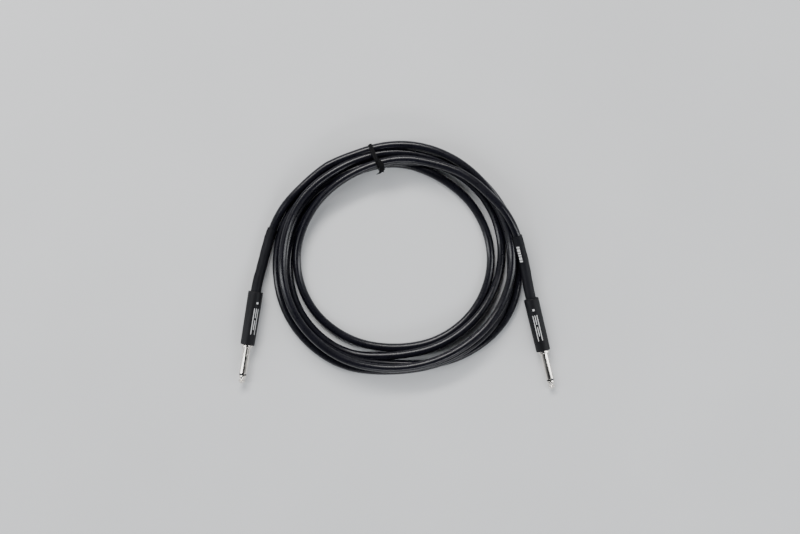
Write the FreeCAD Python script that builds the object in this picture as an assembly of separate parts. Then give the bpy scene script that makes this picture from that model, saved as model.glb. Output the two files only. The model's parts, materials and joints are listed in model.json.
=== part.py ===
"""Instrument cable: a loose round coil of jacketed cable with a straight 6.35 mm plug on each end.

Units are millimetres.  +Z is up and the cable lies on the plane Z = 0.  The origin is on that
plane, under the middle of the two plugs' common box.  The plugs point towards -Y.
Plug sizes run along each plug's own axis, from the barrel's rear face (0) to the tip (PLUG_LENGTH).
"""
import FreeCAD, Part
import math
import os

from FreeCAD import Vector

os.makedirs("parts", exist_ok=True)

# ---------------------------------------------------------------- driving dimensions
CABLE_RADIUS = 3.5
SLEEVE_RADIUS = 4.4
SLEEVE_LENGTH = 55.0
SLEEVE_INSIDE_BARREL = 3.0
COIL_CENTRE = Vector(-0.77, 69.84, 0.0)

PLUG_LENGTH = 78.5
FINGER_RADIUS = 3.175
BARREL_LENGTH = 45.5
BARREL_REAR_RADIUS = 6.35
BARREL_FRONT_RADIUS = 6.1
BARREL_ROUNDING = 1.2
BARREL_BORE_RADIUS = 4.7
THREAD_LENGTH = 7.0
THREAD_RADIUS = 4.35
THREAD_CLEARANCE = 0.05
FLANGE_RADIUS = 4.6
FLANGE_LENGTH = 2.0
SPIGOT_RADIUS = 3.95
SPIGOT_LENGTH = 2.0
RING_LENGTH = 1.4
RING_RADIUS = 2.95
TIP_LENGTH = 7.0
TIP_RADIUS = 2.95
TIP_SHOULDER = 0.8
TIP_NECK = 2.9
TIP_BALL = 4.9
NECK_RADIUS = 2.15
TIP_SLOPE_RADIUS = 2.5
ROD_RADIUS = 1.25
ROD_TUBE_RADIUS = 2.1
ROD_END = 33.6
RIVET_RADIUS = 1.8
NOSE_RADIUS = 1.4
SHAFT_REAR = 40.0
SHAFT_SPIGOT_RADIUS = 2.8
GROUND_TAG_REAR = 36.1
WASHER_REAR = 35.1
TIP_TAG_REAR = 34.4
TAG_WIDTH = 2.0
TONGUE_WIDTH = 1.8
TONGUE_REAR = 28.0
EYELET_PLACE = 31.5
EYELET_RADIUS = 0.45
LUG_RADIUS = 3.4
WASHER_RADIUS = 3.0
LINER_RADIUS = 4.3
LINER_BORE_RADIUS = 4.0
LINER_REAR = 9.6
JACKET_END = 16.0
CRIMP_REAR = 9.0
CRIMP_WALL = 0.3
CRIMP_OPENING = 2.4
TAG_THICKNESS = 0.4
CORE_RADIUS = 1.1
CORE_FRONT = 23.0
CONDUCTOR_RADIUS = 0.5
CONDUCTOR_BEND = 24.0
CONDUCTOR_RISE = 1.3
CONDUCTOR_END = 30.2
SHIELD_RADIUS = 0.6
SHIELD_LENGTH = 8.5
SHIELD_DROP = 2.7

# where each plug's barrel starts, from the coil's centre, how far its tip leans outwards
# and how far it dips: plug b's cable comes down from the top of the coil
PLUGS = {
    "a": {"rear": Vector(-118.2, -29.25, 0), "lean": -9.0, "dip": 0.0},
    "b": {"rear": Vector(113.8, -35.1, 0), "lean": 13.6, "dip": 4.0},
}

# ends of the cable that leave the coil: (degrees clockwise from 12 o'clock, radius, height)
TAIL_A_ROUTE = [
    (340.0, 94.5, 10.5),
    (325.0, 97.5, 10.0),
    (309.0, 100.5, 9.0),
    (295.0, 104.2, 6.0),
    (281.0, 108.4, 4.9),
]
TAIL_B_ROUTE = [
    (355.0, 82.0, 12.0),
    (13.0, 85.0, 17.6),
    (31.0, 88.5, 18.3),
    (49.0, 93.6, 18.2),
    (66.0, 98.6, 18.4),
    (83.0, 103.9, 16.6),
]
TAIL_A_CORNER = -24.0
TAIL_B_CORNER = -18.0

# coil outline at each hour of a clock face, from 12 o'clock on, as (inner, outer) radii
LOWER_LAYER = [
    (76.0, 97.5), (73.5, 99.6), (75.0, 103.7), (76.2, 108.2), (76.1, 109.0), (74.3, 102.9),
    (72.8, 99.9), (75.7, 105.0), (79.8, 107.1), (80.7, 103.6), (78.6, 99.7), (76.5, 97.0),
]
UPPER_LAYER = [
    (78.0, 96.4), (81.0, 97.6), (86.0, 99.6), (90.0, 100.6), (89.0, 102.0), (84.0, 100.0),
    (82.0, 97.5), (86.0, 100.5), (86.0, 101.4), (82.0, 99.3), (80.0, 96.7), (78.6, 95.4),
]
LOWER_HEIGHT = 7.0
UPPER_BOTTOM = 2.0
COIL_HEIGHT = 14.0
COIL_ROUNDING = 3.0

# twist tie round the bundle near 12 o'clock
TIE_AZIMUTH = 348.0
TIE_INNER = 74.6
TIE_OUTER = 99.8
TIE_RADIUS = 0.8
TIE_WIRE_RADIUS = 0.25
TIE_KNOT_RADIUS = 1.6
TIE_KNOT_WIRE_RADIUS = 0.4
TIE_CORNER = 4.0
TIE_END_LENGTH = 9.0

UP = Vector(0, 0, 1)


# ---------------------------------------------------------------- helpers
def on_clock(azimuth, radius, height=0.0):
    """Point round the coil, by the angle clockwise from 12 o'clock."""
    turn = math.radians(azimuth)
    return COIL_CENTRE + Vector(radius * math.sin(turn), radius * math.cos(turn), height)


def revolve(profile):
    """Solid of revolution about the plug's axis from (radius, along) corners or finished edges."""
    if isinstance(profile[0], tuple):
        corners = [Vector(radius, 0, along) for radius, along in profile]
        wire = Part.makePolygon(corners + corners[:1])
    else:
        wire = Part.Wire(profile)
    return Part.Face(wire).revolve(Vector(), UP, 360)


def ring(inner, outer, start, end):
    """Plain tube between two places along the plug."""
    tube = Part.makeCylinder(outer, end - start, Vector(0, 0, start))
    return tube.cut(Part.makeCylinder(inner, end - start, Vector(0, 0, start)))


def bar(width, low, high, start, end):
    """Flat bar along the plug, centred across it, between two heights."""
    return Part.makeBox(width, high - low, end - start, Vector(-width / 2, low, start))


def tube_path(points):
    """Straight runs joined by tangent arcs, each as large as its two runs allow."""
    edges = []
    radii = []
    start = points[0]
    for before, corner, after in zip(points, points[1:], points[2:]):
        back = before - corner
        ahead = after - corner
        reach = 0.45 * min(back.Length, ahead.Length)
        half_turn = (math.pi - back.getAngle(ahead)) / 2
        radii.append(reach / math.tan(half_turn))
        enter = corner + back.normalize() * reach
        leave = corner + ahead.normalize() * reach
        sagitta = radii[-1] * (1 / math.cos(half_turn) - 1)
        middle = corner + (back + ahead).normalize() * sagitta
        edges.append(Part.LineSegment(start, enter).toShape())
        edges.append(Part.Arc(enter, middle, leave).toShape())
        start = leave
    edges.append(Part.LineSegment(start, points[-1]).toShape())
    return edges, radii


def first_length(edges, length):
    """The leading edges of a path, cut off at a length."""
    kept = []
    for edge in edges:
        if edge.Length >= length:
            stop = edge.getParameterByLength(length)
            kept.append(edge.Curve.toShape(edge.FirstParameter, stop))
            return kept
        kept.append(edge)
        length -= edge.Length
    return kept


def sweep_round(edges, radius):
    """Round bar along a path of edges."""
    path = Part.Wire(edges)
    start = edges[0].valueAt(edges[0].FirstParameter)
    tangent = edges[0].tangentAt(edges[0].FirstParameter)
    section = Part.Wire(Part.makeCircle(radius, start, tangent))
    return path.makePipeShell([section], True, False)


def save(name, shape):
    """Write one sub-part to its own file."""
    if not shape.isValid():
        raise ValueError(name + " is not a valid shape")
    shape.exportStep("parts/" + name + ".step")


# ---------------------------------------------------------------- one plug, along its own axis
def make_tip():
    """Turned tip with its neck, and the rod that carries it back to the solder tag."""
    shoulder = PLUG_LENGTH - TIP_LENGTH
    shoulder_front = shoulder + TIP_SHOULDER
    neck = shoulder + TIP_NECK
    ball = shoulder + TIP_BALL
    nose_centre = PLUG_LENGTH - NOSE_RADIUS
    nose_slope = math.radians(35)
    nose_side = (NOSE_RADIUS * math.cos(nose_slope), nose_centre + NOSE_RADIUS * math.sin(nose_slope))
    nose_middle = math.radians(65)

    def at(radius, along):
        return Vector(radius, 0, along)

    outline = [
        Part.LineSegment(at(0, ROD_END), at(RIVET_RADIUS, ROD_END)),
        Part.LineSegment(at(RIVET_RADIUS, ROD_END), at(RIVET_RADIUS, TIP_TAG_REAR)),
        Part.LineSegment(at(RIVET_RADIUS, TIP_TAG_REAR), at(ROD_RADIUS, TIP_TAG_REAR)),
        Part.LineSegment(at(ROD_RADIUS, TIP_TAG_REAR), at(ROD_RADIUS, shoulder)),
        Part.LineSegment(at(ROD_RADIUS, shoulder), at(TIP_RADIUS, shoulder)),
        Part.LineSegment(at(TIP_RADIUS, shoulder), at(TIP_RADIUS, shoulder_front)),
        Part.Arc(at(TIP_RADIUS, shoulder_front), at(NECK_RADIUS, neck - 0.7), at(NECK_RADIUS, neck + 0.5)),
        Part.Arc(at(NECK_RADIUS, neck + 0.5), at(TIP_RADIUS, ball), at(TIP_SLOPE_RADIUS, ball + 0.9)),
        Part.LineSegment(at(TIP_SLOPE_RADIUS, ball + 0.9), at(*nose_side)),
        Part.Arc(at(*nose_side), at(NOSE_RADIUS * math.cos(nose_middle),
                                    nose_centre + NOSE_RADIUS * math.sin(nose_middle)), at(0, PLUG_LENGTH)),
        Part.LineSegment(at(0, PLUG_LENGTH), at(0, ROD_END)),
    ]
    return revolve([curve.toShape() for curve in outline])


def make_tip_insulator():
    """Moulded ring between tip and shaft, in one with the tube round the rod."""
    ring_front = PLUG_LENGTH - TIP_LENGTH
    ring_rear = ring_front - RING_LENGTH
    tube_rear = GROUND_TAG_REAR
    return revolve([
        (ROD_RADIUS, tube_rear), (ROD_TUBE_RADIUS, tube_rear), (ROD_TUBE_RADIUS, ring_rear),
        (RING_RADIUS, ring_rear), (RING_RADIUS, ring_front), (ROD_RADIUS, ring_front),
    ])


def make_shaft():
    """Hollow nickel shaft, its slimmer rear end pressed into the collar."""
    shaft_front = PLUG_LENGTH - TIP_LENGTH - RING_LENGTH
    shoulder = BARREL_LENGTH + FLANGE_LENGTH
    return revolve([
        (ROD_TUBE_RADIUS, SHAFT_REAR), (SHAFT_SPIGOT_RADIUS, SHAFT_REAR),
        (SHAFT_SPIGOT_RADIUS, shoulder), (FINGER_RADIUS, shoulder),
        (FINGER_RADIUS, shaft_front), (ROD_TUBE_RADIUS, shaft_front),
    ])


def make_collar():
    """Flange, thread for the barrel and rear spigot for the liner."""
    flange_front = BARREL_LENGTH + FLANGE_LENGTH
    thread_rear = BARREL_LENGTH - THREAD_LENGTH
    spigot_rear = thread_rear - SPIGOT_LENGTH
    return revolve([
        (ROD_TUBE_RADIUS, spigot_rear), (SPIGOT_RADIUS, spigot_rear), (SPIGOT_RADIUS, thread_rear),
        (THREAD_RADIUS - 0.4, thread_rear), (THREAD_RADIUS, thread_rear + 0.4),
        (THREAD_RADIUS, BARREL_LENGTH), (FLANGE_RADIUS, BARREL_LENGTH),
        (FLANGE_RADIUS, flange_front - 0.4), (FLANGE_RADIUS - 0.4, flange_front),
        (SHAFT_SPIGOT_RADIUS, flange_front), (SHAFT_SPIGOT_RADIUS, SHAFT_REAR),
        (ROD_TUBE_RADIUS, SHAFT_REAR),
    ])


def make_ground_tag():
    """Ground lug: a ring behind the collar, a strap along the bottom and the cable crimp."""
    outside = CABLE_RADIUS + CRIMP_WALL
    front = GROUND_TAG_REAR + TAG_THICKNESS
    lug = ring(ROD_TUBE_RADIUS, LUG_RADIUS, GROUND_TAG_REAR, front)
    tab = bar(TAG_WIDTH, -outside, TAG_THICKNESS - LUG_RADIUS, GROUND_TAG_REAR, front)
    strap = bar(TAG_WIDTH, -outside, TAG_THICKNESS - outside, CRIMP_REAR, front)
    crimp = ring(CABLE_RADIUS, outside, CRIMP_REAR, JACKET_END)
    seam = bar(CRIMP_OPENING, 0.0, outside + 1.0, CRIMP_REAR, JACKET_END)
    jacket = Part.makeCylinder(CABLE_RADIUS, JACKET_END - CRIMP_REAR, Vector(0, 0, CRIMP_REAR))
    return lug.fuse([tab, strap, crimp.cut(seam)]).cut(jacket).removeSplitter()


def make_washer():
    """Insulating washer between the ground lug and the tip's tag."""
    return ring(ROD_RADIUS, WASHER_RADIUS, WASHER_REAR, GROUND_TAG_REAR)


def make_tip_tag():
    """Tip's solder tag: a ring under the rivet and a tongue along the top."""
    under = RIVET_RADIUS + 0.1
    outside = under + TAG_THICKNESS
    tongue = bar(TONGUE_WIDTH, under, outside, TONGUE_REAR, WASHER_REAR)
    eyelet = Part.makeCylinder(EYELET_RADIUS, 2.0, Vector(0, 1.5, EYELET_PLACE), Vector(0, 1, 0))
    lug = ring(ROD_RADIUS, outside, TIP_TAG_REAR, WASHER_REAR)
    return lug.fuse(tongue).cut(eyelet).removeSplitter()


def make_core():
    """Insulated core where it leaves the jacket."""
    return ring(CONDUCTOR_RADIUS, CORE_RADIUS, JACKET_END, CORE_FRONT)


def make_conductor():
    """Bare copper, from inside the core up to the tip's tag."""
    bend = Vector(0, 0, CONDUCTOR_BEND)
    end = Vector(0, CONDUCTOR_RISE, CONDUCTOR_END - 2.6)
    inner = Part.makeCylinder(CONDUCTOR_RADIUS, bend.z - JACKET_END, Vector(0, 0, JACKET_END))
    rise = Part.makeCylinder(CONDUCTOR_RADIUS, (end - bend).Length, bend, end - bend)
    flat = Part.makeCylinder(CONDUCTOR_RADIUS, CONDUCTOR_END - end.z, end, UP)
    joints = [Part.makeSphere(CONDUCTOR_RADIUS, place) for place in (bend, end)]
    return inner.fuse([rise, flat] + joints).removeSplitter()


def make_shield():
    """Twisted screen, laid along the ground strap."""
    return Part.makeCylinder(SHIELD_RADIUS, SHIELD_LENGTH, Vector(0, -SHIELD_DROP, JACKET_END))


def make_solder(shapes):
    """One drop on each tag, shaped round the tag and the wire in it."""
    under_tongue = RIVET_RADIUS + 0.1
    on_strap = TAG_THICKNESS - CABLE_RADIUS - CRIMP_WALL
    tip_drop = Part.makeCylinder(0.8, 1.3, Vector(0, under_tongue, 29.0), Vector(0, -1, 0))
    ground_drop = Part.makeCylinder(0.9, 1.5, Vector(0, on_strap, 23.0), Vector(0, 1, 0))
    return Part.makeCompound([
        tip_drop.cut(shapes["conductor"]),
        ground_drop.cut(shapes["shield"]),
    ])


def make_liner():
    """Thin insulating tube inside the barrel, over the tags and the crimp."""
    return ring(LINER_BORE_RADIUS, LINER_RADIUS, LINER_REAR, BARREL_LENGTH - THREAD_LENGTH)


def make_barrel():
    """Round shell that screws on to the collar, a little slimmer at its front."""
    thread_bore = THREAD_RADIUS + THREAD_CLEARANCE
    thread_rear = BARREL_LENGTH - THREAD_LENGTH
    shell = revolve([
        (BARREL_BORE_RADIUS, 0), (BARREL_REAR_RADIUS, 0), (BARREL_FRONT_RADIUS, BARREL_LENGTH),
        (thread_bore, BARREL_LENGTH), (thread_bore, thread_rear), (BARREL_BORE_RADIUS, thread_rear),
    ])
    rims = [edge for edge in shell.Edges
            if edge.Closed and edge.BoundBox.XMax > BARREL_FRONT_RADIUS - 0.1]
    return shell.makeFillet(BARREL_ROUNDING, rims)


def make_plug():
    """All the pieces of one plug, in the plug's own axes."""
    shapes = {
        "tip_contact": make_tip(),
        "tip_insulator": make_tip_insulator(),
        "shaft": make_shaft(),
        "threaded_collar": make_collar(),
        "ground_tag": make_ground_tag(),
        "insulating_washer": make_washer(),
        "tip_tag": make_tip_tag(),
        "core_insulation": make_core(),
        "conductor": make_conductor(),
        "shield": make_shield(),
        "barrel_liner": make_liner(),
        "barrel": make_barrel(),
    }
    shapes["solder_joints"] = make_solder(shapes)
    return shapes


def plug_axes(plug):
    """Placement of a plug whose barrel rests on the ground, on its rear or its front edge."""
    lean = math.radians(plug["lean"])
    dip = math.radians(plug["dip"])
    forward = Vector(math.sin(lean) * math.cos(dip), -math.cos(lean) * math.cos(dip), -math.sin(dip))
    on_rear = BARREL_REAR_RADIUS * math.cos(dip)
    on_front = BARREL_FRONT_RADIUS * math.cos(dip) + (BARREL_LENGTH - BARREL_ROUNDING) * math.sin(dip)
    origin = COIL_CENTRE + plug["rear"] + UP * max(on_rear, on_front)
    return FreeCAD.Placement(origin, FreeCAD.Rotation(UP.cross(forward), UP, forward, "ZYX"))


# ---------------------------------------------------------------- cable
def make_tail(plug, route, corner):
    """Cable from the plug's crimp back to the coil, and the shrunk sleeve on it."""
    axes = plug_axes(plug)
    points = [axes.multVec(UP * JACKET_END), axes.multVec(UP * corner)]
    points += [on_clock(*place) for place in reversed(route)]
    edges, radii = tube_path(points)
    tail = sweep_round(edges, CABLE_RADIUS)
    length = sum(edge.Length for edge in edges)
    start = edges[0].getParameterByLength(JACKET_END - SLEEVE_INSIDE_BARREL)
    sleeve_start = edges[0].Curve.toShape(start, edges[0].LastParameter)
    sleeve_edges = first_length([sleeve_start] + edges[1:], SLEEVE_LENGTH + SLEEVE_INSIDE_BARREL)
    sleeve = sweep_round(sleeve_edges, SLEEVE_RADIUS).cut(sweep_round(sleeve_edges, CABLE_RADIUS))
    print("arc radii", [round(radius, 1) for radius in radii])
    print("runs", [round((b - a).Length, 1) for a, b in zip(points, points[1:])])
    print("volume over section times length", tail.Volume / (math.pi * CABLE_RADIUS ** 2 * length))
    return tail, sleeve


def closed_outline(radii, height):
    """Smooth closed outline round the coil through one radius per hour."""
    curve = Part.BSplineCurve()
    points = [on_clock(360.0 * hour / len(radii), radius, height) for hour, radius in enumerate(radii)]
    curve.interpolate(Points=points, PeriodicFlag=True)
    return Part.Wire(curve.toShape())


def make_layer(layer, bottom, top, round_bottom):
    """Ring of cable between two heights, rounded at the top and, if asked, underneath."""
    outer = Part.Face(closed_outline([pair[1] for pair in layer], bottom))
    inner = Part.Face(closed_outline([pair[0] for pair in layer], bottom))
    rise = UP * (top - bottom)
    band = outer.extrude(rise).cut(inner.extrude(rise))
    rims = [edge for edge in band.Edges if edge.Closed and edge.BoundBox.ZLength < 0.01]
    if not round_bottom:
        rims = [edge for edge in rims if edge.BoundBox.ZMax > (bottom + top) / 2]
    return band.makeFillet(COIL_ROUNDING, rims)


def make_coil():
    """The wound turns as one closed ring, in two steps."""
    lower = make_layer(LOWER_LAYER, 0, LOWER_HEIGHT, True)
    upper = make_layer(UPPER_LAYER, UPPER_BOTTOM, COIL_HEIGHT, False)
    return lower.fuse(upper).removeSplitter()


def tie_edges():
    """Rounded rectangle round the bundle, standing across the coil, as a closed path."""
    low = TIE_RADIUS
    high = COIL_HEIGHT + TIE_RADIUS + 0.1
    across = [TIE_INNER, TIE_OUTER, TIE_OUTER, TIE_INNER]
    levels = [low, low, high, high]
    corners = [on_clock(TIE_AZIMUTH, radius, level) for radius, level in zip(across, levels)]
    edges = []
    for index, corner in enumerate(corners):
        back = (corners[index - 1] - corner).normalize()
        ahead = (corners[(index + 1) % 4] - corner).normalize()
        enter = corner + back * TIE_CORNER
        leave = corner + ahead * TIE_CORNER
        middle = corner + (back + ahead) * TIE_CORNER * (1 - math.sqrt(0.5))
        edges.append(Part.Arc(enter, middle, leave).toShape())
        following = corners[(index + 1) % 4]
        edges.append(Part.LineSegment(leave, following - ahead * TIE_CORNER).toShape())
    return edges


def make_tie():
    """Plastic strip round the bundle with its twisted ends, and the wire inside it."""
    edges = tie_edges()
    inward = (on_clock(TIE_AZIMUTH, TIE_INNER) - on_clock(TIE_AZIMUTH, TIE_OUTER)).normalize()
    knot = on_clock(TIE_AZIMUTH, TIE_INNER, COIL_HEIGHT / 2)
    ends_core = Part.makeCylinder(TIE_KNOT_WIRE_RADIUS, TIE_END_LENGTH, knot, inward)
    ends = Part.makeCylinder(TIE_KNOT_RADIUS, TIE_END_LENGTH, knot, inward)
    wire = sweep_round(edges, TIE_WIRE_RADIUS).fuse(ends_core)
    strip = sweep_round(edges, TIE_RADIUS).fuse(ends).cut(wire)
    return strip.removeSplitter(), wire.removeSplitter()


# ---------------------------------------------------------------- build
for letter, plug in PLUGS.items():
    axes = plug_axes(plug)
    for name, shape in make_plug().items():
        shape.Placement = axes
        save(name + "_" + letter, shape)

tail_a, sleeve_a = make_tail(PLUGS["a"], TAIL_A_ROUTE, TAIL_A_CORNER)
tail_b, sleeve_b = make_tail(PLUGS["b"], TAIL_B_ROUTE, TAIL_B_CORNER)
tie_strip, tie_wire = make_tie()
save("cable_tail_a", tail_a)
save("cable_tail_b", tail_b)
save("shrink_sleeve_a", sleeve_a)
save("shrink_sleeve_b", sleeve_b)
save("cable_coil", make_coil())
save("tie_strip", tie_strip)
save("tie_wire", tie_wire)
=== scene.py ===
"""Looks of the instrument cable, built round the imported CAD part.

Shapes are worked out in millimetres and turned into metres where a mesh is made.  A plug's sizes
run along its own axis, from the barrel's rear face (0) to the tip's end.  The coil is laid out
like a clock face seen from above: each turn has one radius per hour, clockwise from 12.
"""
import json
import math

import bpy
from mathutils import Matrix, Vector


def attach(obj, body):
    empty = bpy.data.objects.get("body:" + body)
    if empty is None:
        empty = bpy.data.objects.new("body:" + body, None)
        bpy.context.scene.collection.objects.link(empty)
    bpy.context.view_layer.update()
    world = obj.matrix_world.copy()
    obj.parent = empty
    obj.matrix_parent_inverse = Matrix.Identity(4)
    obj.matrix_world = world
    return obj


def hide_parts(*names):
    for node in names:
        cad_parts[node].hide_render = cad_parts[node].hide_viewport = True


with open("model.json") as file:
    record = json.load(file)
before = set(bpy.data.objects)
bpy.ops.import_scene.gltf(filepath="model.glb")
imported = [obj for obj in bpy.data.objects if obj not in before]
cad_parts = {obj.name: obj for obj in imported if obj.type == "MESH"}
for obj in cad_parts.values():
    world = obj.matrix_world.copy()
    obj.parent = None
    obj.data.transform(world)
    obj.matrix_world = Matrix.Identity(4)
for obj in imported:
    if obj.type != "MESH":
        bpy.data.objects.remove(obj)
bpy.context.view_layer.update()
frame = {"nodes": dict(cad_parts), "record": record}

MM = 0.001
UP = Vector((0, 0, 1))

# ---------------------------------------------------------------- driving dimensions, mm
CABLE_RADIUS = 3.5
SLEEVE_RADIUS = 4.4
SLEEVE_REACH = 55.0
SLEEVE_INSIDE_BARREL = 3.0
JACKET_END = 16.0
COIL_CENTRE = Vector((-0.77, 69.84, 0.0))

PLUG_LENGTH = 78.5
FINGER_RADIUS = 3.175
BARREL_LENGTH = 45.5
BARREL_REAR_RADIUS = 6.35
BARREL_FRONT_RADIUS = 6.1
BARREL_BORE_RADIUS = 4.7
THREAD_REAR = 38.5
THREAD_RADIUS = 4.35
THREAD_ROOT = 3.95
THREAD_PITCH = 1.0
THREAD_SLOPE = 1.35
THREAD_STEPS_PER_MM = 8
THREAD_BORE = 4.4
FLANGE_RADIUS = 4.6
FLANGE_FRONT = 47.5
SPIGOT_REAR = 36.5
SPIGOT_RADIUS = 3.95
SHAFT_REAR = 40.0
SHAFT_SPIGOT_RADIUS = 2.8
SHAFT_FRONT = 70.1
RING_RADIUS = 2.95
TIP_REAR = 71.5
TIP_WAIST_RADIUS = 2.0
TIP_BULGE_RADIUS = 3.15
TIP_NOSE_RADIUS = 0.85
ROD_RADIUS = 1.25
ROD_TUBE_RADIUS = 2.1
ROD_TUBE_REAR = 36.1
ROD_END = 33.6
RIVET_RADIUS = 1.8
RIVET_FRONT = 34.4

# the camera looks straight down on this point, and sees this width there
VIEW_CENTRE = Vector((2.69, 61.35, 0.0))
VIEW_WIDTH = 678.0
CAMERA_HEIGHT = 1500.0
SENSOR_WIDTH = 36.0


def scene_camera():
    """Camera straight above the coil."""
    data = bpy.data.cameras.new("camera")
    data.sensor_width = SENSOR_WIDTH
    data.lens = SENSOR_WIDTH * CAMERA_HEIGHT / VIEW_WIDTH
    camera = bpy.data.objects.new("camera", data)
    camera.location = (VIEW_CENTRE + UP * CAMERA_HEIGHT) * MM
    bpy.context.scene.collection.objects.link(camera)
    bpy.context.scene.camera = camera


scene_camera()

# ---------------------------------------------------------------- how the cable lies
# one radius per hour for each turn, from plug a's end of the cable to plug b's
TURNS = [
    [94.1, 95.3, 96.1, 98.1, 97.0, 93.6, 93.4, 96.4, 97.3, 95.2, 92.8, 88.0],
    [87.8, 89.4, 94.5, 97.3, 100.2, 96.9, 95.7, 102.1, 103.8, 100.6, 96.4, 93.4],
    [92.6, 94.6, 98.2, 104.3, 106.3, 99.0, 90.6, 95.1, 98.2, 93.8, 89.8, 82.4],
    [80.3, 86.5, 89.7, 89.2, 85.9, 83.0, 82.9, 90.9, 93.2, 90.1, 83.2, 79.6],
    [78.9, 76.5, 78.1, 80.2, 80.0, 78.2, 76.6, 79.4, 82.9, 83.6, 80.8, 78.6],
]
TAIL_A, TAIL_B = 0, 6
# radius of each tail at the hours that it passes
TAIL_RADII = {TAIL_A: {10: 101.0, 11: 94.2}, TAIL_B: {0: 81.4, 2: 95.0}}
# the rest of each tail: (distance along the plug, distance to its side towards +X, height)
TAIL_A_PLACES = [
    (-9.0, 0.3, 6.25), (-22.0, 1.55, 5.5), (-36.0, 2.85, 4.8), (-52.0, 5.05, 4.6), (-68.0, 9.6, 5.9),
]
TAIL_B_PLACES = [
    (-73.0, -3.7, 21.2), (-58.0, -0.05, 18.4), (-44.0, 0.85, 15.0), (-30.0, 1.05, 11.9),
    (-16.0, 0.5, 10.3), (-6.0, 0.0, 9.6),
]
# places of the tails between the hours: (hour, radius, height), where tail b bridges other passes
TAIL_A_BETWEEN = (10.5, 96.9, 9.6)
TAIL_B_BETWEEN = [(0.8, 84.7, 18.9), (1.4, 89.9, 20.9)]
# distances along the plugs between which the cable's ends run straight inside the barrels
STRAIGHT_ENDS = (JACKET_END, 3.0)
# which pass lies on which at each hour, from the bottom up: the tails are 0 and 6, the turns 1 to 5
STACKING = [
    [5, 3, 4, 2, 1, 6], [5, 4, 3, 2, 1], [5, 4, 3, 2, 1, 6], [5, 4, 3, 2, 1], [5, 4, 3, 2, 1],
    [5, 4, 3, 2, 1], [5, 4, 3, 2, 1], [4, 2, 5, 3, 1], [4, 2, 5, 3, 1], [4, 2, 3, 5, 1],
    [4, 3, 2, 5, 1, 0], [4, 3, 2, 0, 5, 1],
]
# between the middles of two passes that touch
RESTING_DISTANCE = 7.1
# the hours where the tie's strip runs under the bundle, and how far it lifts the lowest pass
TIE_LIFT = {11: 0.7, 0: 0.7}
HOUR = math.radians(30)


def on_clock(angle, radius, height):
    """Point round the coil, by the angle clockwise from 12 o'clock."""
    return COIL_CENTRE + Vector((radius * math.sin(angle), radius * math.cos(angle), height))


def resting_heights(hour):
    """Radius and height of each pass at one hour, every pass lying on those under it."""
    placed = {}
    for which in STACKING[hour]:
        radius = TAIL_RADII[which][hour] if which in TAIL_RADII else TURNS[which - 1][hour]
        height = CABLE_RADIUS + TIE_LIFT.get(hour, 0.0)
        for other_radius, other_height in sorted(placed.values(), key=lambda place: place[1]):
            across = abs(radius - other_radius)
            if across < RESTING_DISTANCE:
                rise = math.sqrt(RESTING_DISTANCE ** 2 - across ** 2)
                if other_height - rise < height < other_height + rise:
                    height = other_height + rise
        placed[which] = (radius, height)
    return placed


class Plug:
    """One plug's axis: places along it, with the directions sideways and up."""

    def __init__(self, letter):
        finger = next(mount for mount in frame["record"]["mounts"]
                      if mount["name"] == "plug_finger_" + letter)
        middle = (FLANGE_FRONT + SHAFT_FRONT) / 2
        self.letter = letter
        self.forward = Vector(finger["axis"])
        self.rear = Vector(finger["pos_m"]) / MM - self.forward * middle
        self.side = UP.cross(self.forward).normalized()
        self.up = self.forward.cross(self.side)

    def at(self, along):
        return self.rear + self.forward * along, self.side, self.up

    def beside(self, along, aside, height):
        """Place at a height above the floor, a distance towards +X from the plug's axis."""
        place = self.rear + self.forward * along + self.side * aside
        return Vector((place.x, place.y, height))


plug_a = Plug("a")
plug_b = Plug("b")


def cable_places():
    """Places the cable passes, from plug a's crimp through the coil to plug b's."""
    heights = [resting_heights(hour) for hour in range(12)]

    def coil_place(which, hour):
        radius, height = heights[hour][which]
        return on_clock(hour * HOUR, radius, height)

    places = [plug_a.at(along)[0] for along in STRAIGHT_ENDS]
    places += [plug_a.beside(*place) for place in TAIL_A_PLACES]
    hour, radius, height = TAIL_A_BETWEEN
    places += [coil_place(TAIL_A, 10), on_clock(hour * HOUR, radius, height), coil_place(TAIL_A, 11)]
    for turn in range(1, 6):
        places += [coil_place(turn, hour) for hour in range(12)]
    places.append(coil_place(TAIL_B, 0))
    places += [on_clock(hour * HOUR, radius, height) for hour, radius, height in TAIL_B_BETWEEN]
    places.append(coil_place(TAIL_B, 2))
    places += [plug_b.beside(*place) for place in TAIL_B_PLACES]
    places += [plug_b.at(along)[0] for along in reversed(STRAIGHT_ENDS)]
    return places


def control_points(places, rounds=10):
    """Control points whose smooth line, seen from above, passes through the places.

    The line's place beside each inner control point is (before + 6 * point + after) / 8.
    """
    flat = Vector((1, 1, 0))
    points = list(places)
    for _ in range(rounds):
        missed = [(place - (before + 6 * point + after) / 8) * flat for place, before, point, after
                  in zip(places[1:-1], points, points[1:], points[2:])]
        points[1:-1] = [point + miss for point, miss in zip(points[1:-1], missed)]
    return points


def make_route(points):
    """The cable's line as one smooth curve, still without thickness."""
    curve = bpy.data.curves.new("cable", "CURVE")
    curve.dimensions = "3D"
    curve.resolution_u = 12
    spline = curve.splines.new("NURBS")
    spline.points.add(len(points) - 1)
    for control, place in zip(spline.points, points):
        control.co = (*(place * MM), 1.0)
    spline.order_u = 3
    spline.use_endpoint_u = True
    cable = bpy.data.objects.new("cable", curve)
    bpy.context.scene.collection.objects.link(cable)
    return cable


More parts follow.
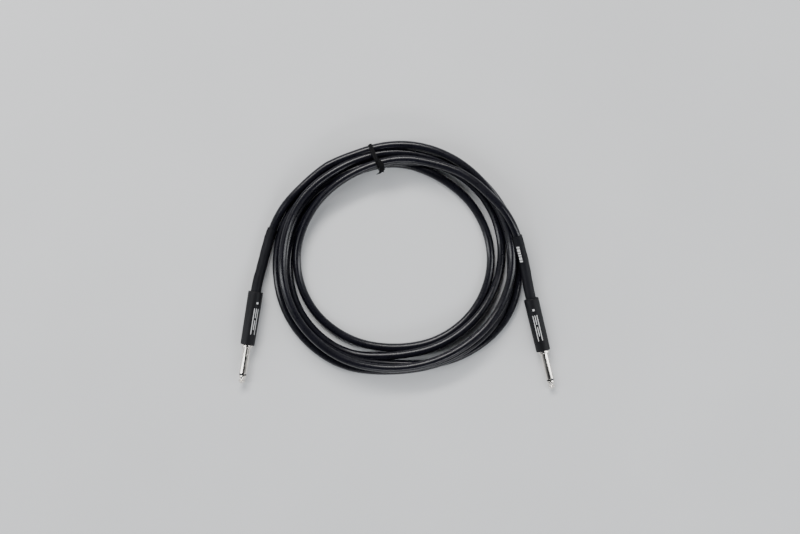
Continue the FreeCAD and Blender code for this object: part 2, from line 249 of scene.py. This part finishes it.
class Route:
    """The smooth line of the cable, with the directions sideways and up at any distance along it."""

    def __init__(self, cable):
        bpy.context.view_layer.update()
        line = bpy.data.meshes.new_from_object(cable)
        self.points = [vertex.co / MM for vertex in line.vertices]
        bpy.data.meshes.remove(line)
        self.starts = [0.0]
        for before, after in zip(self.points, self.points[1:]):
            self.starts.append(self.starts[-1] + (after - before).length)
        self.length = self.starts[-1]

    def direction(self, index):
        ahead = self.points[min(index + 1, len(self.points) - 1)]
        return (ahead - self.points[max(index - 1, 0)]).normalized()

    def at(self, along):
        along = min(max(along, 0.0), self.length)
        index = next(i for i in range(1, len(self.starts)) if self.starts[i] >= along)
        share = (along - self.starts[index - 1]) / (self.starts[index] - self.starts[index - 1])
        centre = self.points[index - 1].lerp(self.points[index], share)
        forward = self.direction(index - 1).lerp(self.direction(index), share).normalized()
        side = UP.cross(forward).normalized()
        return centre, side, forward.cross(side)


class Backwards:
    """A route followed from its far end."""

    def __init__(self, route):
        self.route = route

    def at(self, along):
        centre, side, up = self.route.at(self.route.length - along)
        return centre, -side, up


# ---------------------------------------------------------------- mesh helpers
# how far printed marks stand out of a surface and reach into it
PRINT_PROUD = 0.03
PRINT_DEPTH = 0.06


def new_piece(name, vertices, faces, material, sharp_angle=35):
    """Mesh object in metres, smooth except along its sharp edges."""
    mesh = bpy.data.meshes.new(name)
    mesh.from_pydata([vertex * MM for vertex in vertices], [], faces)
    mesh.validate()
    mesh.shade_smooth()
    mesh.set_sharp_from_angle(angle=math.radians(sharp_angle))
    mesh.materials.append(material)
    piece = bpy.data.objects.new(name, mesh)
    bpy.context.scene.collection.objects.link(piece)
    return piece


def rounded(corners, steps=5):
    """Outline from (along, radius, rounding) corners, each rounding as an arc of a few steps."""
    outline = []
    count = len(corners)
    for index, (along, radius, rounding) in enumerate(corners):
        corner = Vector((along, radius))
        back = Vector(corners[index - 1][:2]) - corner
        ahead = Vector(corners[(index + 1) % count][:2]) - corner
        if rounding <= 0:
            outline.append((along, radius))
            continue
        half = back.angle(ahead) / 2
        reach = min(rounding / math.tan(half), 0.48 * back.length, 0.48 * ahead.length)
        back.normalize()
        ahead.normalize()
        for step in range(steps + 1):
            share = step / steps
            near = corner + back * reach * (1 - share)
            far = corner + ahead * reach * share
            place = near.lerp(far, share)
            outline.append((place.x, place.y))
    return outline


def round_piece(name, path, outline, material, sides, closed=True):
    """Solid of revolution along a path.  A radius may be a function of the angle round the axis."""
    vertices = []
    rings = []
    for along, radius in outline:
        centre, side, up = path.at(along)
        if not callable(radius) and radius <= 0:
            rings.append([len(vertices)] * sides)
            vertices.append(centre)
            continue
        rings.append(list(range(len(vertices), len(vertices) + sides)))
        for step in range(sides):
            angle = 2 * math.pi * step / sides
            reach = radius(angle) if callable(radius) else radius
            vertices.append(centre + (side * math.cos(angle) + up * math.sin(angle)) * reach)
    faces = []
    pairs = list(zip(rings, rings[1:]))
    if closed:
        pairs.append((rings[-1], rings[0]))
    for low, high in pairs:
        for step in range(sides):
            following = (step + 1) % sides
            corners = [low[step], low[following], high[following], high[step]]
            face = list(dict.fromkeys(corners))
            if len(face) > 2:
                faces.append(face)
    return new_piece(name, vertices, faces, material)


def strip_piece(name, runs, section, material):
    """Strips of one section, each swept along its own list of (centre, across, outward)."""
    vertices = []
    faces = []
    for samples, closed in runs:
        first = len(vertices)
        size = len(section)
        for centre, across, outward in samples:
            vertices += [centre + across * x + outward * y for x, y in section]
        count = len(samples)
        for row in range(count if closed else count - 1):
            low = first + row * size
            high = first + ((row + 1) % count) * size
            for step in range(size):
                following = (step + 1) % size
                faces.append([low + step, low + following, high + following, high + step])
        if not closed:
            faces.append(list(range(first, first + size))[::-1])
            last = first + (count - 1) * size
            faces.append(list(range(last, last + size)))
    return new_piece(name, vertices, faces, material, sharp_angle=50)


def patches(name, path, radius_at, marks, material):
    """Thin printed marks that follow a round surface, each (from, to, degrees round it, width)."""
    vertices = []
    faces = []
    rows, columns = 8, 6
    for start, end, turn, width in marks:
        middle = math.radians(turn)
        for offset in (PRINT_PROUD, -PRINT_DEPTH):
            for row in range(rows + 1):
                along = start + (end - start) * row / rows
                centre, side, up = path.at(along)
                radius = radius_at(along)
                for column in range(columns + 1):
                    angle = middle + width / radius * (column / columns - 0.5)
                    direction = side * math.cos(angle) + up * math.sin(angle)
                    vertices.append(centre + direction * (radius + offset))
        layer = (rows + 1) * (columns + 1)
        top = len(vertices) - 2 * layer
        grid = [[top + row * (columns + 1) + column for column in range(columns + 1)]
                for row in range(rows + 1)]
        for row in range(rows):
            for column in range(columns):
                face = [grid[row][column], grid[row][column + 1],
                        grid[row + 1][column + 1], grid[row + 1][column]]
                faces.append(face)
                faces.append([corner + layer for corner in reversed(face)])
        right_side = [line[-1] for line in grid[1:]]
        left_side = [line[0] for line in grid[-2:0:-1]]
        rim = grid[0] + right_side + grid[-1][-2::-1] + left_side
        for here, following in zip(rim, rim[1:] + rim[:1]):
            faces.append([following, here, here + layer, following + layer])
    return new_piece(name, vertices, faces, material, sharp_angle=40)


# ---------------------------------------------------------------- materials
def new_material(name, colour, roughness, metallic=0.0):
    """Principled material; returns it with its tree and shader."""
    material = bpy.data.materials.new(name)
    material.use_nodes = True
    tree = material.node_tree
    shader = tree.nodes["Principled BSDF"]
    shader.inputs["Base Color"].default_value = (*colour, 1.0)
    shader.inputs["Roughness"].default_value = roughness
    shader.inputs["Metallic"].default_value = metallic
    return material, tree, shader


def object_noise(tree, scale, detail):
    """Noise fixed to the object, with its scale in waves per metre."""
    coordinates = tree.nodes.new("ShaderNodeTexCoord")
    noise = tree.nodes.new("ShaderNodeTexNoise")
    noise.inputs["Scale"].default_value = scale
    noise.inputs["Detail"].default_value = detail
    tree.links.new(coordinates.outputs["Object"], noise.inputs["Vector"])
    return noise.outputs["Fac"]


def ramp(tree, factor, low, high, colours):
    """Colour between two factors."""
    node = tree.nodes.new("ShaderNodeValToRGB")
    node.color_ramp.elements[0].position = low
    node.color_ramp.elements[1].position = high
    node.color_ramp.elements[0].color = (*colours[0], 1.0)
    node.color_ramp.elements[1].color = (*colours[1], 1.0)
    tree.links.new(factor, node.inputs["Fac"])
    return node.outputs["Color"]


def spread_value(tree, factor, low, high):
    """Number between two limits."""
    node = tree.nodes.new("ShaderNodeMapRange")
    node.inputs["From Min"].default_value = 0.3
    node.inputs["From Max"].default_value = 0.7
    node.inputs["To Min"].default_value = low
    node.inputs["To Max"].default_value = high
    tree.links.new(factor, node.inputs["Value"])
    return node.outputs["Result"]


def add_bump(tree, shader, height, strength, distance):
    """Fine relief, its distance in metres."""
    node = tree.nodes.new("ShaderNodeBump")
    node.inputs["Strength"].default_value = strength
    node.inputs["Distance"].default_value = distance
    tree.links.new(height, node.inputs["Height"])
    tree.links.new(node.outputs["Normal"], shader.inputs["Normal"])


def coated_black(name, dark, light, roughness, grain, relief):
    """Black plastic, rubber or paint with uneven colour, uneven gloss and a fine grain."""
    material, tree, shader = new_material(name, dark, roughness[0])
    cloud = object_noise(tree, 60.0, 4.0)
    tree.links.new(ramp(tree, cloud, 0.35, 0.7, (dark, light)), shader.inputs["Base Color"])
    speck = object_noise(tree, grain, 2.0)
    tree.links.new(spread_value(tree, speck, *roughness), shader.inputs["Roughness"])
    add_bump(tree, shader, speck, 0.5, relief)
    return material, shader


def turned_metal(name, colour, roughness, plug):
    """Plated metal with faint turning lines round the plug's axis."""
    material, tree, shader = new_material(name, colour, roughness[0], 1.0)
    coordinates = tree.nodes.new("ShaderNodeTexCoord")
    along = tree.nodes.new("ShaderNodeVectorMath")
    along.operation = "DOT_PRODUCT"
    along.inputs[1].default_value = plug.forward
    tree.links.new(coordinates.outputs["Object"], along.inputs[0])
    lines = tree.nodes.new("ShaderNodeTexNoise")
    lines.noise_dimensions = "1D"
    lines.inputs["Scale"].default_value = 2600.0
    lines.inputs["Detail"].default_value = 3.0
    tree.links.new(along.outputs["Value"], lines.inputs["W"])
    smudge = object_noise(tree, 220.0, 4.0)
    tree.links.new(spread_value(tree, smudge, *roughness), shader.inputs["Roughness"])
    tint = tuple(0.9 * channel for channel in colour)
    tree.links.new(ramp(tree, smudge, 0.3, 0.75, (tint, colour)), shader.inputs["Base Color"])
    add_bump(tree, shader, lines.outputs["Fac"], 0.25, 0.00001)
    return material


def speckled(name, dark, light, roughness, scale, metallic=0.0):
    """Uneven plastic or metal for the small pieces."""
    material, tree, shader = new_material(name, light, roughness[0], metallic)
    cloud = object_noise(tree, scale, 5.0)
    tree.links.new(ramp(tree, cloud, 0.3, 0.7, (dark, light)), shader.inputs["Base Color"])
    tree.links.new(spread_value(tree, cloud, *roughness), shader.inputs["Roughness"])
    add_bump(tree, shader, cloud, 0.4, 0.00003)
    return material


jacket, jacket_shader = coated_black(
    "jacket", (0.0030, 0.0030, 0.0060), (0.0060, 0.0058, 0.0105), (0.26, 0.33), 500.0, 0.00001)
jacket_shader.inputs["Specular IOR Level"].default_value = 0.32
jacket_shader.inputs["Coat Weight"].default_value = 0.20
jacket_shader.inputs["Coat Roughness"].default_value = 0.12
sleeve_black, sleeve_shader = coated_black(
    "sleeve_black", (0.0030, 0.0032, 0.0055), (0.0060, 0.0063, 0.0090), (0.46, 0.60), 1400.0, 0.00003)
sleeve_shader.inputs["Specular IOR Level"].default_value = 0.20
barrel_black, barrel_shader = coated_black(
    "barrel_black", (0.0034, 0.0035, 0.0050), (0.0060, 0.0061, 0.0080), (0.42, 0.56), 2600.0, 0.00004)
barrel_shader.inputs["Specular IOR Level"].default_value = 0.22
ring_black, _ = coated_black(
    "ring_black", (0.0050, 0.0050, 0.0060), (0.0090, 0.0090, 0.0100), (0.25, 0.35), 1500.0, 0.00002)
tie_black, tie_shader = coated_black(
    "tie_black", (0.0018, 0.0018, 0.0028), (0.0036, 0.0036, 0.0046), (0.55, 0.65), 1200.0, 0.00001)
tie_shader.inputs["Specular IOR Level"].default_value = 0.10
print_white = speckled("print_white", (0.55, 0.56, 0.57), (0.80, 0.80, 0.80), (0.45, 0.6), 1800.0)
nickel_a = turned_metal("nickel_a", (0.83, 0.79, 0.73), (0.17, 0.27), plug_a)
nickel_b = turned_metal("nickel_b", (0.83, 0.79, 0.73), (0.17, 0.27), plug_b)
steel = speckled("steel", (0.45, 0.45, 0.46), (0.62, 0.62, 0.63), (0.22, 0.38), 900.0, 1.0)
tinned = speckled("tinned_brass", (0.55, 0.52, 0.44), (0.72, 0.69, 0.62), (0.22, 0.42), 700.0, 1.0)
solder_grey = speckled("solder_grey", (0.50, 0.50, 0.52), (0.72, 0.72, 0.74), (0.15, 0.30), 1500.0, 1.0)
copper = speckled("copper_strands", (0.55, 0.26, 0.14), (0.80, 0.42, 0.26), (0.22, 0.36), 1600.0, 1.0)
core_white = speckled("core_white", (0.62, 0.61, 0.57), (0.78, 0.77, 0.73), (0.35, 0.5), 500.0)
liner_clear = speckled("liner_plastic", (0.60, 0.61, 0.61), (0.74, 0.75, 0.75), (0.28, 0.42), 300.0)

# ---------------------------------------------------------------- cable and sleeves
cable = make_route(control_points(cable_places()))
route = Route(cable)
cable.data.bevel_depth = CABLE_RADIUS * MM
cable.data.bevel_resolution = 8
cable.data.use_fill_caps = True
cable.data.materials.append(jacket)
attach(cable, "cable")
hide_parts("cable_coil", "cable_tail_a", "cable_tail_b")


# the sleeve is even where the barrel slides over it, and grows uneven over the next stretch
SLEEVE_EVEN_LENGTH = 9.0
SLEEVE_GROWING_LENGTH = 8.0
SLEEVE_CLEARANCE = 0.02
SLEEVE_SHRINK = 0.08
SLEEVE_STEPS = 60
SLEEVE_CHAMFER = 0.3
# slow waves along its skin: (height, radians per mm, radians at the start)
SLEEVE_WAVES = [(0.06, 0.52, 0.0), (0.04, 1.31, 1.0)]
# three shallow ridges that wind slowly round it, turning by some radians per mm
SLEEVE_RIDGE = 0.035
SLEEVE_RIDGE_TURN = 0.11
# rounded cut end: (distance before the end, distance under the lip)
SLEEVE_LIP_RADIUS = SLEEVE_RADIUS - 0.02
SLEEVE_LIP = [(0.6, 0.0), (0.22, 0.06), (0.04, 0.25), (0.0, 0.45)]


def sleeve_radius(along):
    """Radius of the sleeve's skin at one place along it, as a function of the angle round it."""
    uneven = (along - JACKET_END - SLEEVE_EVEN_LENGTH) / SLEEVE_GROWING_LENGTH
    uneven = min(max(uneven, 0.0), 1.0)
    swell = sum(height * math.sin(along * rate + start) for height, rate, start in SLEEVE_WAVES)

    def radius(angle):
        ridge = SLEEVE_RIDGE * math.sin(3 * angle + SLEEVE_RIDGE_TURN * along)
        return SLEEVE_RADIUS + uneven * (swell + ridge - SLEEVE_SHRINK)
    return radius


def make_sleeve(letter, path):
    """Shrunk sleeve on the cable behind a plug, a little uneven, with a rounded cut end."""
    start = JACKET_END - SLEEVE_INSIDE_BARREL
    end = JACKET_END + SLEEVE_REACH
    inner = CABLE_RADIUS + SLEEVE_CLEARANCE
    skin_start = start + SLEEVE_CHAMFER
    skin_end = end - SLEEVE_LIP[0][0]
    outline = [(start, inner), (start, SLEEVE_RADIUS - SLEEVE_CHAMFER / 2), (skin_start, SLEEVE_RADIUS)]
    for step in range(1, SLEEVE_STEPS):
        along = skin_start + (skin_end - skin_start) * step / SLEEVE_STEPS
        outline.append((along, sleeve_radius(along)))
    outline += [(end - before, SLEEVE_LIP_RADIUS - under) for before, under in SLEEVE_LIP]
    outline += [(end + (start - end) * step / SLEEVE_STEPS, inner) for step in range(SLEEVE_STEPS)]
    sleeve = round_piece("sleeve_" + letter, path, outline, sleeve_black, sides=56)
    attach(sleeve, "cable")
    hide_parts("shrink_sleeve_" + letter)
    return sleeve


sleeve_a = make_sleeve("a", route)
sleeve_b = make_sleeve("b", Backwards(route))

# a plain row of short blocks on one sleeve, some degrees round it
BLOCKS_START = 48.7
BLOCKS_TURN = 60.0
BLOCK_LENGTHS = [1.4, 2.2, 1.4, 1.4, 2.2, 1.4]
BLOCK_WIDTH = 2.6
BLOCK_GAP = 0.75


def make_sleeve_print(path):
    """Row of plain blocks on a sleeve, in place of any wording."""
    blocks = []
    start = BLOCKS_START
    for length in BLOCK_LENGTHS:
        blocks.append((start, start + length, BLOCKS_TURN, BLOCK_WIDTH))
        start += length + BLOCK_GAP
    row = patches("sleeve_print", path, lambda along: SLEEVE_RADIUS, blocks, print_white)
    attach(row, "cable")
    return row


sleeve_print = make_sleeve_print(Backwards(route))


# ---------------------------------------------------------------- plugs
# plain marks on the barrel: (from, to, degrees from their middle line, width)
BARREL_MARKS = [
    (8.6, 10.2, 0.0, 1.6), (14.0, 36.0, -16.0, 0.6), (14.0, 22.0, 0.0, 0.6),
    (24.0, 32.0, 0.0, 0.6), (14.0, 36.0, 16.0, 0.6),
]
# degrees round each barrel to the middle line of its marks
MARK_TURNS = {"a": 58.0, "b": 96.0}


def barrel_radius(along):
    """Outer radius of the barrel, which narrows towards the front."""
    return BARREL_REAR_RADIUS + (BARREL_FRONT_RADIUS - BARREL_REAR_RADIUS) * along / BARREL_LENGTH


def make_barrel(plug):
    """Painted shell with rounded rims."""
    outline = rounded([
        (0.0, BARREL_BORE_RADIUS, 0.35), (0.0, BARREL_REAR_RADIUS, 1.2),
        (BARREL_LENGTH, BARREL_FRONT_RADIUS, 1.1), (BARREL_LENGTH, THREAD_BORE, 0.2),
        (THREAD_REAR, THREAD_BORE, 0.1), (THREAD_REAR, BARREL_BORE_RADIUS, 0.1),
    ], steps=7)
    barrel = round_piece("barrel_shell_" + plug.letter, plug, outline, barrel_black, sides=96)
    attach(barrel, "shell_" + plug.letter)
    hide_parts("barrel_" + plug.letter)
    return barrel


def make_barrel_mark(plug):
    """Plain bars printed along the barrel, in place of any wording."""
    middle = MARK_TURNS[plug.letter]
    marks = [(start, end, middle + turn, width) for start, end, turn, width in BARREL_MARKS]
    mark = patches("barrel_mark_" + plug.letter, plug, barrel_radius, marks, print_white)
    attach(mark, "shell_" + plug.letter)
    return mark


def thread_radius(along):
    """Radius of the thread at one place along it, as a function of the angle round it."""
    def radius(angle):
        wave = abs(((along / THREAD_PITCH - angle / (2 * math.pi)) % 1.0) - 0.5) * 2
        return THREAD_ROOT + (THREAD_RADIUS - THREAD_ROOT) * min(1.0, THREAD_SLOPE * wave)
    return radius


def make_collar(plug, nickel):
    """Nickel collar: spigot, cut thread and flange."""
    outline = [(SPIGOT_REAR, ROD_TUBE_RADIUS), (SPIGOT_REAR, SPIGOT_RADIUS - 0.2),
               (SPIGOT_REAR + 0.2, SPIGOT_RADIUS), (THREAD_REAR, SPIGOT_RADIUS)]
    steps = int((BARREL_LENGTH - THREAD_REAR) * THREAD_STEPS_PER_MM)
    for step in range(1, steps):
        along = THREAD_REAR + (BARREL_LENGTH - THREAD_REAR) * step / steps
        outline.append((along, thread_radius(along)))
    outline += rounded([
        (BARREL_LENGTH, THREAD_ROOT, 0), (BARREL_LENGTH, FLANGE_RADIUS, 0.12),
        (FLANGE_FRONT, FLANGE_RADIUS, 0.45), (FLANGE_FRONT, SHAFT_SPIGOT_RADIUS, 0),
        (SHAFT_REAR, SHAFT_SPIGOT_RADIUS, 0), (SHAFT_REAR, ROD_TUBE_RADIUS, 0),
    ], steps=6)
    collar = round_piece("collar_" + plug.letter, plug, outline, nickel, sides=72)
    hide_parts("threaded_collar_" + plug.letter)
    return collar


def make_finger(plug, nickel):
    """Shaft, insulating ring and pointed tip with its rod."""
    shaft = round_piece("finger_shaft_" + plug.letter, plug, rounded([
        (SHAFT_REAR, ROD_TUBE_RADIUS, 0), (SHAFT_REAR, SHAFT_SPIGOT_RADIUS, 0),
        (FLANGE_FRONT, SHAFT_SPIGOT_RADIUS, 0), (FLANGE_FRONT, FINGER_RADIUS, 0),
        (SHAFT_FRONT, FINGER_RADIUS, 0.25), (SHAFT_FRONT, ROD_TUBE_RADIUS, 0),
    ]), nickel, sides=80)
    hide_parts("shaft_" + plug.letter)
    ring = round_piece("finger_ring_" + plug.letter, plug, rounded([
        (ROD_TUBE_REAR, ROD_RADIUS, 0), (ROD_TUBE_REAR, ROD_TUBE_RADIUS, 0),
        (SHAFT_FRONT, ROD_TUBE_RADIUS, 0), (SHAFT_FRONT, RING_RADIUS, 0.1),
        (TIP_REAR, RING_RADIUS, 0.1), (TIP_REAR, ROD_RADIUS, 0),
    ]), ring_black, sides=72)
    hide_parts("tip_insulator_" + plug.letter)
    tip = round_piece("finger_tip_" + plug.letter, plug, rounded([
        (ROD_END, 0, 0), (ROD_END, RIVET_RADIUS, 0.3), (RIVET_FRONT, RIVET_RADIUS, 0.2),
        (RIVET_FRONT, ROD_RADIUS, 0), (TIP_REAR, ROD_RADIUS, 0), (TIP_REAR, RING_RADIUS, 0.18),
        (TIP_REAR + 1.2, RING_RADIUS, 0.5), (TIP_REAR + 2.9, TIP_WAIST_RADIUS, 1.3),
        (TIP_REAR + 3.7, TIP_WAIST_RADIUS, 1.0), (TIP_REAR + 4.9, TIP_BULGE_RADIUS, 0.9),
        (PLUG_LENGTH, TIP_NOSE_RADIUS, 1.3), (PLUG_LENGTH, 0, 0),
    ], steps=9), nickel, sides=72, closed=False)
    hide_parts("tip_contact_" + plug.letter)
    return [shaft, ring, tip]


def make_plug(plug, nickel):
    """All the visible pieces of one plug."""
    barrel = make_barrel(plug)
    mark = make_barrel_mark(plug)
    collar = make_collar(plug, nickel)
    shaft, ring, tip = make_finger(plug, nickel)
    for piece in (collar, shaft, ring, tip):
        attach(piece, "cable")
    return [barrel, mark, collar, shaft, ring, tip]


make_plug(plug_a, nickel_a)
plug_pieces_b = make_plug(plug_b, nickel_b)

# the CAD nodes inside the barrels keep their shapes and get these materials
INNER_PIECES = {
    "ground_tag": tinned, "insulating_washer": ring_black, "tip_tag": tinned,
    "core_insulation": core_white, "conductor": copper, "shield": copper,
    "solder_joints": solder_grey, "barrel_liner": liner_clear,
}
for letter in "ab":
    for name, material in INNER_PIECES.items():
        node = frame["nodes"][name + "_" + letter]
        node.data.materials.clear()
        node.data.materials.append(material)

# ---------------------------------------------------------------- twist tie
# its band stands upright across the bundle, and its places are (inward, height) in that plane
TIE_PLACE = COIL_CENTRE + Vector((-18.8, 87.0, 0.0))
TIE_TURN = math.radians(23)
TIE_INWARD = Vector((math.sin(TIE_TURN), -math.cos(TIE_TURN), 0.0))
TIE_ALONG = UP.cross(TIE_INWARD)
TIE_GAP = 0.65
TIE_SPACING = 0.8
# the strip's section has a ridge over the wire on both faces
TIE_RIDGE = 0.50
TIE_FACE = [
    (1.7, 0.10), (1.6, 0.16), (0.55, 0.16), (0.38, 0.40), (0.0, TIE_RIDGE),
    (-0.38, 0.40), (-0.55, 0.16), (-1.6, 0.16), (-1.7, 0.10),
]
TIE_SECTION = [(-across, -out) for across, out in TIE_FACE] + TIE_FACE
WIRE_RADIUS = 0.38
WIRE_SIDES = 12
# the twisted pair's middle line: (inward from the band's crest, along the cable, above the crest)
KNOT = [
    (-4.8, 0.2, -1.4), (-2.4, 0.7, 1.0), (0.4, 1.7, 1.7),
    (3.2, 2.0, 1.2), (5.7, 1.2, -1.0), (7.2, 0.0, -3.8),
]
KNOT_STEPS = 84
KNOT_TWISTS = 2.1
KNOT_SPREAD = 1.75
# how far each free end runs past the knot: (along the cable, inward, up), besides straight on
FREE_ENDS = [(3.2, -1.2, 0.8), (-2.2, 0.2, -1.2)]
FREE_STEPS = 12
FREE_LENGTH = 1.1


def passes_at_tie():
    """Where each pass of the cable near the tie crosses its plane, as (inward, height)."""
    nearby = 30.0
    found = []
    for before, after in zip(route.points, route.points[1:]):
        low = (before - TIE_PLACE).dot(TIE_ALONG)
        high = (after - TIE_PLACE).dot(TIE_ALONG)
        if low * high < 0:
            place = before.lerp(after, low / (low - high))
            inward = (place - TIE_PLACE).dot(TIE_INWARD)
            if abs(inward) < nearby:
                found.append((inward, place.z))
    return found


def wrapped(circles, radius):
    """Outline of a band pulled tight round circles: the convex hull of their rims."""
    rim = []
    steps = 48
    for inward, height in circles:
        for step in range(steps):
            angle = 2 * math.pi * step / steps
            rim.append((inward + radius * math.cos(angle), height + radius * math.sin(angle)))
    rim.sort()

    def half(points):
        chain = []
        for point in points:
            while len(chain) > 1:
                (ax, ay), (bx, by) = chain[-2], chain[-1]
                if (bx - ax) * (point[1] - ay) - (by - ay) * (point[0] - ax) > 0:
                    break
                chain.pop()
            chain.append(point)
        return chain[:-1]

    return half(rim) + half(rim[::-1])


def evenly(points, spacing):
    """Closed outline resampled at even steps."""
    loop = points + points[:1]
    lengths = [math.dist(a, b) for a, b in zip(loop, loop[1:])]
    total = sum(lengths)
    count = max(12, round(total / spacing))
    result = []
    index = 0
    passed = 0.0
    for step in range(count):
        target = total * step / count
        while passed + lengths[index] < target:
            passed += lengths[index]
            index += 1
        share = (target - passed) / lengths[index]
        (ax, ay), (bx, by) = loop[index], loop[index + 1]
        result.append((ax + (bx - ax) * share, ay + (by - ay) * share))
    return result


def tie_point(inward, height, along=0.0):
    """Point by its place in the tie's plane and its distance out of it, along the cable."""
    return TIE_PLACE + TIE_INWARD * inward + TIE_ALONG * along + UP * height


def strip_samples(places, widths):
    """Frames along a strip: its middle, the direction across it and the one out of its face."""
    samples = []
    for index, (place, width) in enumerate(zip(places, widths)):
        ahead = places[min(index + 1, len(places) - 1)]
        behind = places[max(index - 1, 0)]
        forward = (ahead - behind).normalized()
        across = (width - forward * width.dot(forward)).normalized()
        samples.append((place, across, across.cross(forward)))
    return samples


def smooth_between(before, low, high, after, share):
    """Cubic through low and high that follows their neighbours' slopes."""
    slope_low = (high - before) / 2
    slope_high = (after - low) / 2
    square = share * share
    cube = square * share
    return ((2 * cube - 3 * square + 1) * low + (cube - 2 * square + share) * slope_low
            + (3 * square - 2 * cube) * high + (cube - square) * slope_high)


def along_line(line, share):
    """Place at a share of the way along the smooth line that passes some places."""
    way = share * (len(line) - 1)
    index = min(int(way), len(line) - 2)
    before = line[max(index - 1, 0)]
    after = line[min(index + 2, len(line) - 1)]
    corners = zip(before, line[index], line[index + 1], after)
    return [smooth_between(*values, way - index) for values in corners]


def tie_strand(middle_line, first_angle, free_end):
    """One strand of the twisted pair and its free end: its places, and the direction across each."""
    places = []
    widths = []
    for step in range(KNOT_STEPS + 1):
        share = step / KNOT_STEPS
        inward, aside, height = along_line(middle_line, share)
        angle = 2 * math.pi * KNOT_TWISTS * share + first_angle
        offset = KNOT_SPREAD * min(1.0, 0.35 + 2.0 * share)
        places.append(tie_point(
            inward, height + offset * math.sin(angle), aside + offset * math.cos(angle)))
        widths.append(TIE_ALONG * -math.sin(angle) + UP * math.cos(angle))
    last = places[-1]
    heading = (last - places[-4]).normalized()
    aside, inward, lift = free_end
    for step in range(1, FREE_STEPS + 1):
        share = step / FREE_STEPS
        curl = share ** 1.5
        places.append(last + (heading * FREE_LENGTH + TIE_INWARD * inward) * share
                      + (TIE_ALONG * aside + UP * lift) * curl)
        widths.append(widths[-1])
    return places, widths


def make_tie():
    """Plastic strip with a wire in it: a band round the bundle, a twisted pair and two free ends."""
    band = evenly(wrapped(passes_at_tie(), CABLE_RADIUS + TIE_GAP), TIE_SPACING)
    places = [tie_point(inward, max(height, TIE_RIDGE)) for inward, height in band]
    loop = places + places[:2]
    strips = [(strip_samples(loop, [TIE_ALONG] * len(loop))[1:-1], True)]
    crest, top = max(band, key=lambda point: point[1])
    middle_line = [(crest + inward, aside, top + height) for inward, aside, height in KNOT]
    wires = []
    for which, free_end in enumerate(FREE_ENDS):
        strand, widths = tie_strand(middle_line, math.pi * which, free_end)
        samples = strip_samples(strand, widths)
        strips.append((samples, False))
        tip, across, _ = samples[-1]
        ahead = (strand[-1] - strand[-2]).normalized()
        wire = [strand[-3], tip, tip + ahead, tip + ahead * 2.0]
        wires.append((strip_samples(wire, [across] * len(wire)), False))
    section = []
    for step in range(WIRE_SIDES):
        angle = 2 * math.pi * step / WIRE_SIDES
        section.append((WIRE_RADIUS * math.cos(angle), WIRE_RADIUS * math.sin(angle)))
    return (strip_piece("tie_strip_visual", strips, TIE_SECTION, tie_black),
            strip_piece("tie_wire_ends", wires, section, steel))


tie_strip, tie_wire = make_tie()
for piece, node, slot in ((tie_strip, "tie_strip", "tie_plastic"), (tie_wire, "tie_wire", "tie_steel")):
    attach(piece, "cable")
    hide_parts(node)

tuple(plug_a.at(JACKET_END)[0] * MM)


# ---------------------------------------------------------------- floor and light
FLOOR_HALF = 12000.0
FLOOR_DROP = 0.02
# lights stand at places in metres and face this one
LIGHTS_FACE = Vector((0.0, 0.05, 0.0))


def make_floor():
    """Pale matte floor, a little uneven in tone."""
    material, tree, shader = new_material("floor", (0.74, 0.75, 0.76), 0.8)
    cloud = object_noise(tree, 6.0, 6.0)
    tree.links.new(ramp(tree, cloud, 0.3, 0.7, ((0.72, 0.73, 0.74), (0.76, 0.77, 0.78))),
                   shader.inputs["Base Color"])
    corners = [Vector((x * FLOOR_HALF, y * FLOOR_HALF, -FLOOR_DROP))
               for x, y in ((-1, -1), (1, -1), (1, 1), (-1, 1))]
    floor = new_piece("floor", corners, [[0, 1, 2, 3]], material)


def place_light(data, place):
    """Light at a place, facing the coil."""
    light = bpy.data.objects.new(data.name, data)
    light.location = place
    light.rotation_euler = (LIGHTS_FACE - place).to_track_quat("-Z", "Y").to_euler()
    bpy.context.scene.collection.objects.link(light)


def add_panel(name, place, size, energy, colour):
    """Soft rectangular light."""
    data = bpy.data.lights.new(name, "AREA")
    data.shape = "RECTANGLE"
    data.size, data.size_y = size
    data.energy = energy
    data.color = colour
    place_light(data, place)


def add_wide_light(name, place, strength, softness):
    """Soft light that is as strong on the far floor as on the near one."""
    data = bpy.data.lights.new(name, "SUN")
    data.energy = strength
    data.angle = math.radians(softness)
    place_light(data, place)


make_floor()
add_wide_light("wide", Vector((-0.35, 1.05, 1.25)), 1.1, 35.0)
add_panel("key", Vector((-0.35, 1.05, 0.95)), (1.3, 0.22), 15.0, (1.0, 0.98, 0.96))
add_panel("left", Vector((-1.15, -0.10, 0.75)), (0.24, 1.5), 9.0, (0.96, 0.98, 1.0))
add_panel("right", Vector((1.15, 0.0, 0.75)), (0.24, 1.5), 9.0, (0.96, 0.98, 1.0))
add_panel("front", Vector((0.3, -1.1, 0.70)), (1.1, 0.25), 7.0, (0.95, 0.97, 1.0))


def make_world():
    """Studio that is bright round the sides and dim overhead."""
    world = bpy.data.worlds.new("studio")
    world.use_nodes = True
    tree = world.node_tree
    coordinates = tree.nodes.new("ShaderNodeTexCoord")
    parts = tree.nodes.new("ShaderNodeSeparateXYZ")
    tree.links.new(coordinates.outputs["Generated"], parts.inputs["Vector"])
    shade = ramp(tree, parts.outputs["Z"], 0.30, 0.80, ((0.44, 0.455, 0.475), (0.022, 0.024, 0.028)))
    background = tree.nodes["Background"]
    tree.links.new(shade, background.inputs["Color"])
    background.inputs["Strength"].default_value = 0.7
    bpy.context.scene.world = world


make_world()
